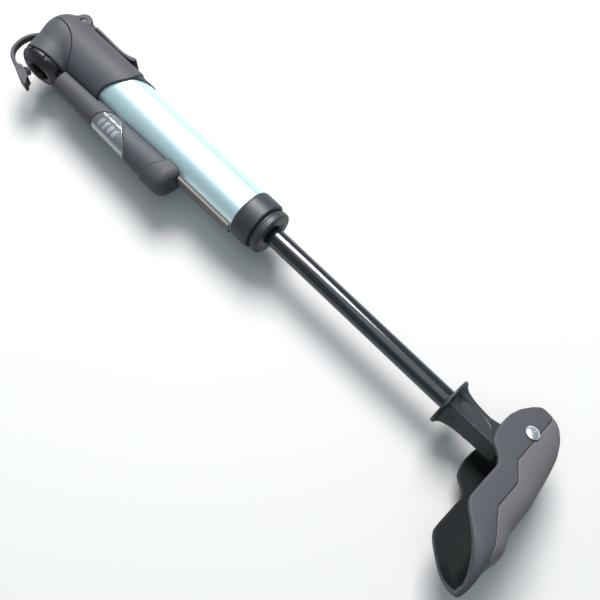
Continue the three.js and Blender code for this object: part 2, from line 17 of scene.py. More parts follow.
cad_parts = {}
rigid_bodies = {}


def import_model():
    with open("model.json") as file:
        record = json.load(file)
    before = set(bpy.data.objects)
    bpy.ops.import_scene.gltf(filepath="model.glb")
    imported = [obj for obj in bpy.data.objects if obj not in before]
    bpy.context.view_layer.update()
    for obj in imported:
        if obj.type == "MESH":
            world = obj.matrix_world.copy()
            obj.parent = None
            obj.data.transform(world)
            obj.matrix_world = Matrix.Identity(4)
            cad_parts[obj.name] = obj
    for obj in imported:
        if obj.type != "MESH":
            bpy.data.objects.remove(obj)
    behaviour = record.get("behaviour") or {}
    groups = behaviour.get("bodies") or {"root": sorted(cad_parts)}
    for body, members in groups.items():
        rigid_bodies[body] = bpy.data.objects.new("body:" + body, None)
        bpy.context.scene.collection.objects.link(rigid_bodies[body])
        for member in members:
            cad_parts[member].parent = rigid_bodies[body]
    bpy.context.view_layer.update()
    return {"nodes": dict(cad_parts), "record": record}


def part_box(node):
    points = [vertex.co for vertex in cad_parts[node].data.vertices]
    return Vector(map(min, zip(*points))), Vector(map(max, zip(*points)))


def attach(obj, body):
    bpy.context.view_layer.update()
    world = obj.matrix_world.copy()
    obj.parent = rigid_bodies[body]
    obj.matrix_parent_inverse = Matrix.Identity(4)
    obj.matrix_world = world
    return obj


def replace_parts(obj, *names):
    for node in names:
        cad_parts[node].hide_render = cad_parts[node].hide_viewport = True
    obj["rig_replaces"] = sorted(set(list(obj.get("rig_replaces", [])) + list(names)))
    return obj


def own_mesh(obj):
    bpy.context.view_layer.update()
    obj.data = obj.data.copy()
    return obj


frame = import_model()

MM = 0.001

# ---------------------------------------------------------------------------------------------
# Driving dimensions, in millimetres
# ---------------------------------------------------------------------------------------------

FIT_GAP = 0.12  # between pieces that sit in one another
JOINT_GAP = 0.3  # between pieces cut to one another's shape
SLIDE_GAP = 0.4  # beside pieces that slip past one another

CAP_FRONT_X = 0.4
BARREL_RADIUS = 12.8
BORE_RADIUS = 11.3
BARREL_BACK_X = -139.2
SOCKET_BACK_X = BARREL_BACK_X - 2.1  # back of the head's socket for the barrel
BARREL_STEP_X = -16.4
BARREL_FRONT_X = -6.4
THREAD_RADIUS = 12.15
RAIL_BACK_X = -53
RAIL_RADIUS = 13.8
RAIL_HALF = 4.5
COLLAR_RADIUS = 13.2
CAP_RADIUS = 12.1

ROD_RADIUS = 5
ROD_BORE = 3.8
ROD_END_X = 128
NECK_X = 115.7
NECK_HALF = 5.5
FLANGE_RADIUS = 12.2
EYE_RADIUS = 6.5
NECK_PIN_X = 122
NECK_PIN_RADIUS, NECK_PIN_HOLE = 1.2, 1.3
PIVOT_X = 152.1
PIVOT_Y = 3.4
PIVOT_PIN_RADIUS, PIVOT_PIN_HOLE = 2.2, 2.28
LUG_RADIUS = 6
HANDLE_TURN = math.radians(22)
HANDLE_HALF = 19
WALL = 2.2
GRIP = 0.9
D_POWER = 3.6  # how square the corners of the handle's section are

HEAD_RADIUS = 14.4
ELBOW_X = -154.3
CHUCK_LEAN = math.radians(10.6)
CHUCK_RADIUS = 12.9
CHUCK_FACE = 17.3
CHUCK_BORE = 7.6
RING_FRONT = 23.2
RING_BORE = 5.2
SEAM_X, SEAM_Y, SEAM_RADIUS = -156.5, -17.1, 19.25
CORE_RADIUS = 5.6  # round the check valve the head is one piece, behind the seam
VALVE_BORE, VALVE_BACK_X = 3.6, -146.3
LIP_RADIUS, LIP_BACK_X, LIP_END_X = 13.45, -114, -98.2

LEVER_X, LEVER_Y = -153, 12
LEVER_TIP_X = -117
LEVER_HALF = 6
HUB_HALF = 4.5
CAM_RADIUS = 3.6
CAM_THROW = 1.6
HUB_GAP = 0.2
SLOT_Y = 13.4  # floor of the head's slot under the lever
BLADE_BACK_X = -147
LEVER_PIN_RADIUS = 1.5
LEVER_PIN_HOLE = 1.62  # in the head
LEVER_BORE = 1.58  # in the lever, which turns on the pin

GAUGE_Y = -17
GAUGE_BACK_X, GAUGE_FRONT_X = -144, -64
GAUGE_BACK_RADIUS, GAUGE_FRONT_RADIUS = 5.9, 8.7
GAUGE_BORE_Y = -19
GAUGE_BORE = 3.6
GAUGE_BORE_BACK_X = -119
SCALE_BACK_X, SCALE_FRONT_X = -117.5, -64.2
SCALE_RADIUS, SCALE_BORE = 3.45, 2.95
WINDOW_BACK_X, WINDOW_FRONT_X = -107.2, -81.6
WINDOW_FLOOR = -4
LENS = 1.5
BLOCK_STEP = 3.3  # from one printed block of the scale to the next
BLOCK_SHARE = 0.66  # how much of that step a block fills
BLOCKS_FROM, BLOCKS_TO = 12.5, 26.5  # from the scale's back end
BLOCKS_ABOVE = 2.6  # over the barrel's axis
STRIP_Z, STRIP_HALF = 0.4, 0.7  # middle and half width of the strip of ticks

PLUG_X = -154.6  # of the dust cap's plug

CAMERA_PLACE = (129.9, -129.05, 400.5)
CAMERA_AIM = (33.7, -14.2, 0)
CAMERA_ROLL = math.radians(5.6)

# ---------------------------------------------------------------------------------------------
# Frames
# ---------------------------------------------------------------------------------------------

cap_low, cap_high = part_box("guide_cap")
tube_low, tube_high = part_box("barrel_tube")
tube_middle = (tube_low + tube_high) / 2
scale_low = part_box("gauge_scale_tube")[0]
PUMP = Matrix.Translation((cap_high.x / MM - CAP_FRONT_X, tube_middle.y / MM, tube_middle.z / MM))
CHUCK = PUMP @ Matrix.Translation((ELBOW_X, 0, 0)) @ Matrix.Rotation(CHUCK_LEAN - math.pi / 2, 4, "Z")
HANDLE = PUMP @ Matrix.Rotation(-HANDLE_TURN, 4, "X")
ALONG_GAUGE = PUMP @ Matrix.Translation((0, GAUGE_BORE_Y, 0))

# ---------------------------------------------------------------------------------------------
# Distances: each takes coordinates and gives how far they are outside a shape, below nought inside
# ---------------------------------------------------------------------------------------------


def far(*parts):
    return np.sqrt(sum(part * part for part in parts))


def slab(v, low, high):
    return np.maximum(low - v, v - high)


def joined(a, b, radius):
    """Both shapes, with a fillet where they cross."""
    corner = far(np.maximum(radius - a, 0), np.maximum(radius - b, 0))
    return np.maximum(radius, np.minimum(a, b)) - corner


def melted(a, b, reach):
    """Both shapes, flowing into each other where their surfaces are within reach."""
    share = np.maximum(reach - np.abs(a - b), 0) / reach
    return np.minimum(a, b) - share * share * reach / 4


def shared(a, b, radius):
    """What is in both shapes, with the edge where they cross rounded."""
    corner = far(np.maximum(radius + a, 0), np.maximum(radius + b, 0))
    return np.minimum(-radius, np.maximum(a, b)) + corner


def without(a, b, radius):
    return shared(a, -b, radius)


def rounded_block(u, v, w, half_u, half_v, half_w, radius):
    du, dv, dw = np.abs(u) - half_u + radius, np.abs(v) - half_v + radius, np.abs(w) - half_w + radius
    outside = far(np.maximum(du, 0), np.maximum(dv, 0), np.maximum(dw, 0))
    return outside + np.minimum(np.maximum(du, np.maximum(dv, dw)), 0) - radius


def path(u, v, points):
    """Distance to a line through points in the u, v plane."""
    nearest = 1e9
    for (u0, v0), (u1, v1) in zip(points, points[1:]):
        eu, ev = u1 - u0, v1 - v0
        share = np.clip(((u - u0) * eu + (v - v0) * ev) / (eu * eu + ev * ev), 0, 1)
        nearest = np.minimum(nearest, (u - u0 - share * eu) ** 2 + (v - v0 - share * ev) ** 2)
    return np.sqrt(nearest)


def outline(u, v, points):
    """Distance to a closed outline in the u, v plane."""
    around = [*points, points[0]]
    inside = False
    for (u0, v0), (u1, v1) in zip(around, around[1:]):
        if v0 != v1:
            crossing = u0 + (v - v0) * (u1 - u0) / (v1 - v0)
            inside = inside ^ (((v0 > v) != (v1 > v)) & (u < crossing))
    return np.where(inside, -1, 1) * path(u, v, around)


def smooth_line(points, steps=8):
    """Points of a smooth curve through the given ones, which keep their places."""
    ends = [2 * np.array(points[0]) - points[1]], [2 * np.array(points[-1]) - points[-2]]
    p = [*ends[0], *map(np.array, points), *ends[1]]
    line = []
    for i in range(1, len(p) - 2):
        for step in range(steps):
            t = step / steps
            line.append(0.5 * (
                2 * p[i] + (p[i + 1] - p[i - 1]) * t
                + (2 * p[i - 1] - 5 * p[i] + 4 * p[i + 1] - p[i + 2]) * t ** 2
                + (3 * p[i] - p[i - 1] - 3 * p[i + 1] + p[i + 2]) * t ** 3
            ))
    return [tuple(q) for q in [*line, p[-2]]]


# ---------------------------------------------------------------------------------------------
# Meshes
# ---------------------------------------------------------------------------------------------


def add_mesh(name, points, faces, place, normals=None):
    """A mesh object from points in millimetres in the frame place."""
    turn = np.array(place)[:3, :3]
    where = (points @ turn.T + np.array(place)[:3, 3]) * MM
    mesh = bpy.data.meshes.new(name)
    mesh.from_pydata(where.tolist(), [], faces)
    mesh.polygons.foreach_set("use_smooth", [True] * len(mesh.polygons))
    if normals is None:
        mesh.set_sharp_from_angle(angle=math.radians(35))
    else:
        mesh.normals_split_custom_set_from_vertices((normals @ turn.T).tolist())
    thing = bpy.data.objects.new(name, mesh)
    bpy.context.scene.collection.objects.link(thing)
    return thing


def slope(shape, points, reach=0.02):
    """The direction in which the distance grows at each point, of length one."""
    rise = np.empty_like(points)
    for axis in range(3):
        step = np.zeros(3)
        step[axis] = reach
        rise[:, axis] = shape(*(points + step).T) - shape(*(points - step).T)
    return rise / np.maximum(far(*rise.T), 1e-12)[:, None]


def surface_net(shape, low, high, step):
    """Points near the surface of a shape, one to a cell of a grid, and the quads that join them."""
    counts = [int(math.ceil((h - l) / step)) + 1 for l, h in zip(low, high)]
    axes = [l + step * np.arange(n) for l, n in zip(low, counts)]
    field = shape(*np.ix_(*axes))
    field = np.broadcast_to(field, counts)
    inside = field < 0
    cells = tuple(n - 1 for n in counts)
    total = np.zeros(cells, int)
    for i, j, k in product((0, 1), repeat=3):
        total += inside[i:i + cells[0], j:j + cells[1], k:k + cells[2]]
    at = np.argwhere((total > 0) & (total < 8))
    number = np.full(cells, -1)
    number[tuple(at.T)] = np.arange(len(at))
    places = np.zeros((len(at), 3))
    hits = np.zeros(len(at))
    faces = []
    for axis in range(3):
        others = [a for a in range(3) if a != axis]
        for corner in product((0, 1), repeat=2):
            start = at.copy()
            start[:, others[0]] += corner[0]
            start[:, others[1]] += corner[1]
            end = start.copy()
            end[:, axis] += 1
            a, b = field[tuple(start.T)], field[tuple(end.T)]
            crossed = (a < 0) != (b < 0)
            share = np.where(crossed, a / np.where(crossed, a - b, 1), 0)
            point = start.astype(float)
            point[:, axis] += share
            places += np.where(crossed[:, None], point, 0)
            hits += crossed
        first = np.moveaxis(inside, axis, 0)
        change = np.argwhere(first[:-1] != first[1:])
        edge = np.empty_like(change)
        edge[:, axis] = change[:, 0]
        edge[:, others[0]] = change[:, 1]
        edge[:, others[1]] = change[:, 2]
        ring = []
        for back in ((1, 1), (0, 1), (0, 0), (1, 0)):
            cell = edge.copy()
            cell[:, others[0]] -= back[0]
            cell[:, others[1]] -= back[1]
            ring.append(number[tuple(cell.T)])
        quads = np.stack(ring, 1)
        grows = inside[tuple(edge.T)] != (axis == 1)
        quads[~grows] = quads[~grows][:, ::-1]
        faces.append(quads)
    faces = np.concatenate(faces)
    if faces.min() < 0:
        raise ValueError(f"the box from {low} to {high} cuts the shape")
    return np.array(low) + step * places / hits[:, None], faces


def edges_meet_in_pairs(faces):
    """Whether no edge has more than two faces."""
    edges = np.sort(np.stack([faces, np.roll(faces, -1, 1)], 2).reshape(-1, 2), 1)
    return np.unique(edges, axis=0, return_counts=True)[1].max() == 2


def moulded(name, shape, low, high, step, place=PUMP):
    """The surface of a shape given by its distance, as a fine mesh with the shape's own normals."""
    points, faces = surface_net(shape, low, high, step)
    for _ in range(3):
        move = shape(*points.T)[:, None] * slope(shape, points)
        points -= np.clip(move, -step / 2, step / 2)
    normals = slope(shape, points) if edges_meet_in_pairs(faces) else None
    return add_mesh(name, points, faces.tolist(), place, normals)


def filleted(profile, radius, steps=4):
    """A closed profile with each corner rounded by up to radius."""
    rounded = []
    count = len(profile)
    for i in range(count):
        before, here, after = (np.array(profile[(i + k) % count], float) for k in (-1, 0, 1))
        reach = min(radius, *(far(*(q - here)) * 0.45 for q in (before, after)))
        a = here + (before - here) / far(*(before - here)) * reach
        b = here + (after - here) / far(*(after - here)) * reach
        for step in range(steps + 1):
            t = step / steps
            rounded.append(((1 - t) ** 2 * a + 2 * t * (1 - t) * here + t ** 2 * b).tolist())
    return rounded


def turned(name, profile, place=PUMP, radius=0.3, segments=96):
    """A closed [x, radius] profile, with its corners rounded, turned about the frame's X axis."""
    rows = filleted(profile, radius)
    angles = 2 * math.pi * np.arange(segments) / segments
    points = [(x, r * math.cos(a), r * math.sin(a)) for a in angles for x, r in rows]
    count = len(rows)
    faces = []
    for i in range(segments):
        for j in range(count):
            a, b = i * count + j, i * count + (j + 1) % count
            c, d = (i + 1) % segments * count + (j + 1) % count, (i + 1) % segments * count + j
            faces.append((a, b, c, d))
    return closed_up(add_mesh(name, np.array(points), faces, place))


def closed_up(thing):
    """Welds the points that meet on the axis, and turns the faces outwards."""
    mesh = bmesh.new()
    mesh.from_mesh(thing.data)
    bmesh.ops.remove_doubles(mesh, verts=mesh.verts, dist=1e-7)
    bmesh.ops.recalc_face_normals(mesh, faces=mesh.faces)
    mesh.to_mesh(thing.data)
    mesh.free()
    thing.data.set_sharp_from_angle(angle=math.radians(35))
    return thing


def coil(name, x0, x1, radius, wire, turns, place):
    """A wire spring along the frame's X axis, with its last half turns lying flat."""
    steps, sides = 28, 10
    count = int(turns * steps)
    angles = 2 * math.pi * np.arange(count + 1) / steps
    share = np.linspace(0, 1, count + 1)
    flat = 0.5 / turns
    share = np.clip((share - flat) / (1 - 2 * flat), 0, 1)
    middle = np.stack([x0 + wire + (x1 - x0 - 2 * wire) * share,
                       radius * np.cos(angles), radius * np.sin(angles)], 1)
    ahead = np.gradient(middle, axis=0)
    ahead /= far(*ahead.T)[:, None]
    out = middle * (0, 1, 1)
    out /= far(*out.T)[:, None]
    side = np.cross(ahead, out)
    points, faces = [], []
    for i in range(count + 1):
        for j in range(sides):
            a = 2 * math.pi * j / sides
            points.append(middle[i] + wire * (math.cos(a) * out[i] + math.sin(a) * side[i]))
    for i in range(count):
        for j in range(sides):
            a, b = i * sides + j, i * sides + (j + 1) % sides
            faces.append((a, b, b + sides, a + sides))
    faces.append(tuple(range(sides))[::-1])
    faces.append(tuple(count * sides + j for j in range(sides)))
    return closed_up(add_mesh(name, np.array(points), faces, place))


# ---------------------------------------------------------------------------------------------
# Materials
# ---------------------------------------------------------------------------------------------


class Finish:
    """A material with one Principled shader, and short calls for the nodes that feed it."""

    def __init__(self, name, **values):
        self.material = bpy.data.materials.new(name)
        self.material.use_nodes = True
        self.tree = self.material.node_tree
        self.shader = self.tree.nodes["Principled BSDF"]
        for key, value in values.items():
            self.shader.inputs[key.replace("_", " ")].default_value = value
        self.place = self.node("ShaderNodeTexCoord").outputs["Object"]

    def node(self, kind, **values):
        made = self.tree.nodes.new(kind)
        for key, value in values.items():
            setattr(made, key, value)
        return made

    def link(self, source, target):
        self.tree.links.new(source, target)

    def stretched(self, sx, sy, sz):
        mapping = self.node("ShaderNodeMapping")
        mapping.inputs["Scale"].default_value = (sx, sy, sz)
        self.link(self.place, mapping.inputs["Vector"])
        return mapping.outputs["Vector"]

    def noise(self, scale, detail=2, where=None):
        made = self.node("ShaderNodeTexNoise")
        made.inputs["Scale"].default_value = scale
        made.inputs["Detail"].default_value = detail
        self.link(where or self.place, made.inputs["Vector"])
        return made.outputs["Fac"]

    def maths(self, operation, *values):
        made = self.node("ShaderNodeMath", operation=operation)
        for socket, value in zip(made.inputs, values):
            if isinstance(value, (int, float)):
                socket.default_value = value
            else:
                self.link(value, socket)
        return made.outputs[0]

    def between(self, value, low, high):
        made = self.node("ShaderNodeMapRange")
        made.inputs["To Min"].default_value = low
        made.inputs["To Max"].default_value = high
        self.link(value, made.inputs["Value"])
        return made.outputs["Result"]

    def mixed(self, share, a, b):
        made = self.node("ShaderNodeMix", data_type="RGBA")
        self.link(share, made.inputs["Factor"])
        for socket, value in ((made.inputs[6], a), (made.inputs[7], b)):
            if isinstance(value, tuple):
                socket.default_value = (*value, 1)
            else:
                self.link(value, socket)
        return made.outputs[2]

    def colour(self, source):
        self.link(source, self.shader.inputs["Base Color"])

    def roughness(self, source):
        self.link(source, self.shader.inputs["Roughness"])

    def bump(self, height, depth):
        made = self.node("ShaderNodeBump")
        made.inputs["Distance"].default_value = depth
        made.inputs["Strength"].default_value = 1
        self.link(height, made.inputs["Height"])
        self.link(made.outputs["Normal"], self.shader.inputs["Normal"])


def shades(colour, spread):
    """A darker and a lighter version of a colour."""
    return tuple(c * (1 - spread) for c in colour), tuple(c * (1 + spread) for c in colour)


def moulded_plastic(name, colour, roughness, grain=2600, depth=2.5e-5, spread=0.06, gloss=0.32):
    """Plastic with the fine spark-eroded grain of its mould and faint handling marks."""
    finish = Finish(name, Specular_IOR_Level=gloss)
    cloud = finish.noise(60, 4)
    finish.colour(finish.mixed(cloud, *shades(colour, spread)))
    rough = finish.between(finish.noise(220, 5), roughness - 0.06, roughness + 0.08)
    finish.roughness(rough)
    finish.bump(finish.noise(grain, 2), depth)
    return finish.material


def soft_rubber(name, colour, roughness=0.62):
    finish = Finish(name, Specular_IOR_Level=0.35)
    finish.colour(finish.mixed(finish.noise(90, 4), *shades(colour, 0.1)))
    finish.roughness(finish.between(finish.noise(400, 4), roughness - 0.08, roughness + 0.1))
    finish.bump(finish.noise(3500, 2), 3e-5)
    return finish.material


def anodised(name, colour):
    """Drawn aluminium tube with a silver anodised skin: faint lines along it, and a soft sheen."""
    finish = Finish(name, Metallic=0.78)
    lines = finish.noise(2600, 3, finish.stretched(0.02, 1, 1))
    finish.colour(finish.mixed(lines, *shades(colour, 0.015)))
    finish.roughness(finish.between(lines, 0.33, 0.4))
    finish.bump(lines, 1e-6)
    return finish.material


def gloss_enamel(name, colour):
    finish = Finish(name, Specular_IOR_Level=0.35, Coat_Weight=0.3, Coat_Roughness=0.05)
    finish.colour(finish.mixed(finish.noise(50, 3), *shades(colour, 0.12)))
    lines = finish.noise(700, 3, finish.stretched(0.03, 1, 1))
    finish.roughness(finish.between(lines, 0.12, 0.2))
    finish.bump(finish.noise(160, 2), 1.2e-5)
    return finish.material


def bare_metal(name, colour, roughness, depth=4e-6):
    finish = Finish(name, Metallic=1.0)
    finish.colour(finish.mixed(finish.noise(300, 4), *shades(colour, 0.06)))
    scratches = finish.noise(1500, 4)
    finish.roughness(finish.between(scratches, roughness * 0.7, roughness * 1.4))
    finish.bump(scratches, depth)
    return finish.material


def smoky_lens(name):
    finish = Finish(name, Base_Color=(0.55, 0.58, 0.61, 1), IOR=1.49, Transmission_Weight=0.9)
    finish.roughness(finish.between(finish.noise(500, 3), 0.08, 0.16))
    finish.bump(finish.noise(90, 2), 2e-6)
    return finish.material


def printed_scale(name):
    """A smoky sleeve with pale blocks along its crest and a cream strip of fine ticks on its side."""
    finish = Finish(name, Specular_IOR_Level=0.4)
    apart = finish.node("ShaderNodeSeparateXYZ")
    finish.link(finish.place, apart.inputs["Vector"])
    along = finish.maths("SUBTRACT", apart.outputs["X"], scale_low.x)
    height = finish.maths("SUBTRACT", apart.outputs["Z"], tube_middle.z)
    step = BLOCK_STEP * MM
    blocks = finish.maths("LESS_THAN", finish.maths("MODULO", along, step), step * BLOCK_SHARE)
    blocks = finish.maths("MULTIPLY", blocks, finish.maths("GREATER_THAN", height, BLOCKS_ABOVE * MM))
    blocks = finish.maths("MULTIPLY", blocks, finish.maths("LESS_THAN", along, BLOCKS_TO * MM))
    blocks = finish.maths("MULTIPLY", blocks, finish.maths("GREATER_THAN", along, BLOCKS_FROM * MM))
    ticks = finish.maths("GREATER_THAN", finish.maths("MODULO", along, step / 4), step / 16)
    off_strip = finish.maths("ABSOLUTE", finish.maths("SUBTRACT", height, STRIP_Z * MM))
    strip = finish.maths("LESS_THAN", off_strip, STRIP_HALF * MM)
    strip = finish.maths("MULTIPLY", strip, ticks)
    sleeve = finish.mixed(finish.noise(300, 3), (0.12, 0.125, 0.135), (0.17, 0.172, 0.18))
    painted = finish.mixed(strip, sleeve, (0.62, 0.56, 0.48))
    finish.colour(finish.mixed(blocks, painted, (0.86, 0.88, 0.93)))
    finish.roughness(finish.between(finish.noise(700, 3), 0.4, 0.55))
    return finish.material


finishes = {
    "head_plastic": moulded_plastic("charcoal_plastic", (0.037, 0.039, 0.047), 0.6),
    "black_plastic": moulded_plastic("black_plastic", (0.008, 0.009, 0.012), 0.42),
    "collar_plastic": moulded_plastic("dark_plastic", (0.017, 0.021, 0.025), 0.45),
    "grip_plastic": moulded_plastic("grip_plastic", (0.078, 0.077, 0.084), 0.65, 1900, 5e-5),
    "barrel_aluminium": anodised("anodised_aluminium", (0.56, 0.72, 0.75)),
    "rod_black": gloss_enamel("black_enamel", (0.008, 0.011, 0.014)),
    "rail_plastic": moulded_plastic("rail_plastic", (0.12, 0.108, 0.1), 0.62),
    "cap_rubber": soft_rubber("grey_rubber", (0.036, 0.039, 0.045)),
    "black_rubber": soft_rubber("black_rubber", (0.012, 0.012, 0.014)),
    "clear_plastic": smoky_lens("smoky_lens"),
    "scale_card": printed_scale("printed_scale"),
    "indicator_plastic": moulded_plastic("indicator_plastic", (0.5, 0.03, 0.02), 0.3),
    "chrome": bare_metal("polished_chrome", (0.92, 0.93, 0.94), 0.22, 2e-6),
    "steel": bare_metal("plain_steel", (0.06, 0.062, 0.068), 0.5),
    "brass": bare_metal("turned_brass", (0.68, 0.5, 0.24), 0.28),
}

# Near-black finish for the inside faces of the handle's trough: painted shade in the hollow, which lies out
# of the key light.
trough_inside_painted_shade = moulded_plastic("trough_inside_painted_shade", (0.006, 0.008, 0.009), 0.55, gloss=0.12)

# ---------------------------------------------------------------------------------------------
# Putting a finished piece in place
# ---------------------------------------------------------------------------------------------

slot_of = {row["node"]: row["material_slot"] for row in frame["record"]["subparts"]}
body_of = {node: body for body, nodes in frame["record"]["behaviour"]["bodies"].items() for node in nodes}


def stands_for(thing, node):
    """The piece takes the CAD node's finish, rides on its body and is shown in its stead."""
    slot = slot_of[node]
    thing.data.materials.append(finishes[slot])
    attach(thing, body_of[node])
    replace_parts(thing, node)
    return thing


def tinted(thing, finish, where, place=PUMP):
    """The faces whose middles satisfy where, in millimetres in the frame place, take another finish."""
    thing.data.materials.append(finish)
    middles = np.empty(3 * len(thing.data.polygons))
    thing.data.polygons.foreach_get("center", middles)
    matrix = np.array(place)
    local = (middles.reshape(-1, 3) / MM - matrix[:3, 3]) @ matrix[:3, :3]
    chosen = where(*local.T).astype(int)
    thing.data.polygons.foreach_set("material_index", chosen)


# ---------------------------------------------------------------------------------------------
# Head
# ---------------------------------------------------------------------------------------------


def chuck_axes(x, y):
    """Distance along the chuck's axis from where it crosses the barrel's, and distance across it."""
    ahead = x - ELBOW_X
    sine, cosine = math.sin(CHUCK_LEAN), math.cos(CHUCK_LEAN)
    return ahead * sine - y * cosine, ahead * cosine + y * sine


def head_form(x, y, z):
    """The elbow: a sleeve with a round end, and the chuck's stub leaning out of it."""
    sleeve = far(np.minimum(x - ELBOW_X, 0) * HEAD_RADIUS / CHUCK_RADIUS, y, z) - HEAD_RADIUS
    along, across = chuck_axes(x, y)
    stub = far(np.minimum(along, 0), across, z) - CHUCK_RADIUS
    return melted(sleeve, shared(stub, along - CHUCK_FACE, 0.8), 2)


skirt_edge = np.poly1d(np.polyfit([-11, -2, 6, 14], [-114, -109.6, -106.6, -109.4], 3))
lip_edge = np.poly1d(np.polyfit([0, 7, 14], [-108.6, -105.2, -98.4], 2))


def skirt_end(x, y):
    return x - skirt_edge(np.clip(y, -15, 15))


def seam_gap(x, y, z):
    """Inside the arc of the chuck's seam, and off the head's core."""
    arc = far(x - SEAM_X, y - SEAM_Y) - SEAM_RADIUS
    core = np.maximum(far(y, z) - CORE_RADIUS, slab(x, -147.2, -130))
    return np.maximum(arc, -core)


def barrel_socket(x, y, z):
    return np.maximum(far(y, z) - BARREL_RADIUS - FIT_GAP, SOCKET_BACK_X - x)


def head_body(x, y, z):
    around = far(y, z)
    along, across = chuck_axes(x, y)
    beside = far(across, z)
    off_pin = far(x - LEVER_X, y - LEVER_Y)
    boss = shared(off_pin - 4.4, np.abs(z) - 8.2, 0.8)
    form = joined(head_form(x, y, z), boss, 1.5)
    form = shared(form, skirt_end(x, y), 0.45)
    lip = shared(around - LIP_RADIUS, x - np.minimum(lip_edge(np.clip(y, 0, 15)), LIP_END_X), 0.2)
    lip = np.maximum(lip, np.maximum(LIP_BACK_X - x, -y))
    form = np.minimum(form, lip)
    form = without(form, seam_gap(x, y, z) - JOINT_GAP, 0.35)
    form = without(form, barrel_socket(x, y, z), 0.15)
    form = np.maximum(form, -np.maximum(around - VALVE_BORE, slab(x, VALVE_BACK_X, -141)))
    form = np.maximum(form, -np.maximum(around - 1.6, slab(x, -150, -146)))
    form = np.maximum(form, -np.maximum(beside - CHUCK_BORE, -5 - along))
    form = np.maximum(form, -np.maximum(beside - 3.8, slab(along, -14, 0)))
    beside_hub = np.abs(z) - HUB_HALF - HUB_GAP
    hub_slot = np.maximum(slab(x, -161, LEVER_X + 0.2), slab(y, 7, 20))
    hub = np.maximum(np.minimum(off_pin - 5.6, hub_slot), beside_hub)
    form = without(form, hub, 0.25)
    arm = np.maximum(slab(x, LEVER_X, -140), beside_hub)
    blade = np.maximum(slab(x, -147.5, LEVER_TIP_X + 1), np.abs(z) - LEVER_HALF - SLIDE_GAP)
    form = without(form, np.maximum(SLOT_Y - y, np.minimum(arm, blade)), 0.3)
    return np.maximum(form, LEVER_PIN_HOLE - off_pin)


def chuck_housing(x, y, z):
    along, across = chuck_axes(x, y)
    form = shared(head_form(x, y, z), seam_gap(x, y, z), 0.35)
    form = without(form, barrel_socket(x, y, z), 0.15)
    return without(form, far(across, z) - CHUCK_BORE, 0.3)


# Faces of the lip past the skirt's end: their black finish is painted shade for the dark crescent in the
# step between skirt and barrel.
def lip_painted_shade(x, y, z):
    return (skirt_end(x, y) > 0.1) & (far(y, z) < HEAD_RADIUS - 0.3) & (y > -8)


elbow_head = stands_for(moulded("elbow_head", head_body, (-171, -16, -16), (-96, 18, 16), 0.42), "head_body")
# The lip takes the black plastic finish as painted shade under the skirt's step.
tinted(elbow_head, finishes["black_plastic"], lip_painted_shade)
stands_for(moulded("chuck_shell", chuck_housing, (-171, -23, -16), (-134, 5, 16), 0.4), "chuck_housing")

# ---------------------------------------------------------------------------------------------
# Chuck ring, gasket and plunger, in the chuck's own frame
# ---------------------------------------------------------------------------------------------


def chuck_ring(x, y, z):
    """A domed ring with grip notches round its rim."""
    around = far(y, z)
    start = CHUCK_FACE + 0.2
    section = [
        (start, RING_BORE), (start, 12.6), (start + 2, 12.8), (start + 3.6, 11.6), (RING_FRONT - 0.5, 9.4),
        (RING_FRONT, 8.3), (RING_FRONT, 6.2), (RING_FRONT - 1.2, RING_BORE),
    ]
    form = outline(x, around, filleted(section, 1.2))
    sector = math.pi / 8
    angle = np.mod(np.arctan2(z, y), 2 * sector) - sector
    notch = np.maximum(np.abs(around * np.sin(angle)) - 1.1, np.maximum(11.5 - around, x - start - 2.4))
    return without(form, notch, 0.3)


stands_for(moulded("chuck_end_ring", chuck_ring, (16.5, -14, -14), (24.5, 14, 14), 0.3, CHUCK), "chuck_ring")
stands_for(turned("valve_washer", [
    (7.1, 3.9), (7.1, 7.4), (CHUCK_FACE - 0.1, 7.4), (CHUCK_FACE - 0.1, 4.6), (CHUCK_FACE - 2, 3.9),
], CHUCK, 0.4), "valve_gasket")

# ---------------------------------------------------------------------------------------------
# Lock lever, its pin and the dust cap
# ---------------------------------------------------------------------------------------------

blade_tip = smooth_line([
    (LEVER_TIP_X - 7, 13.95), (LEVER_TIP_X - 2.4, 14.5), (LEVER_TIP_X - 0.2, 16.2),
    (LEVER_TIP_X - 1.6, 17.1), (LEVER_TIP_X - 4.6, 16.2), (LEVER_TIP_X - 9, 15.45),
], 5)
blade_outline = [
    (BLADE_BACK_X, 13.8), (LEVER_TIP_X - 12, 13.85), *blade_tip, (LEVER_TIP_X - 16, 15.35),
    (BLADE_BACK_X, 15.4),
]


def lock_lever(x, y, z):
    """An eccentric hub, an arm over the head and a thumb tab at its tip."""
    off_pin = far(x - LEVER_X, y - LEVER_Y)
    off_cam = far(x - LEVER_X + CAM_THROW, y - LEVER_Y)
    hub = melted(off_pin, off_cam, 1) - CAM_RADIUS + 0.2
    arm = np.maximum(slab(x, LEVER_X, -143), slab(y, 13.7, 15.4))
    hub = shared(joined(hub, arm, 1), np.abs(z) - HUB_HALF, 0.4)
    waist = LEVER_HALF - 1.2 * np.exp(-((x - LEVER_TIP_X + 12) / 9) ** 2)
    blade = shared(outline(x, y, blade_outline), np.abs(z) - waist, 0.5)
    return np.maximum(joined(hub, blade, 0.5), LEVER_BORE - off_pin)


stands_for(moulded("thumb_lever", lock_lever, (-160, 7, -7), (-115, 19, 7), 0.32), "lock_lever")
LEVER_AXIS = PUMP @ Matrix.Translation((LEVER_X, LEVER_Y, 0)) @ Matrix.Rotation(-math.pi / 2, 4, "Y")
stands_for(turned("lever_hinge_pin", [
    (-7.9, 0), (-7.9, LEVER_PIN_RADIUS), (7.9, LEVER_PIN_RADIUS), (7.9, 0),
], LEVER_AXIS, 0.35, 48), "lever_pin")

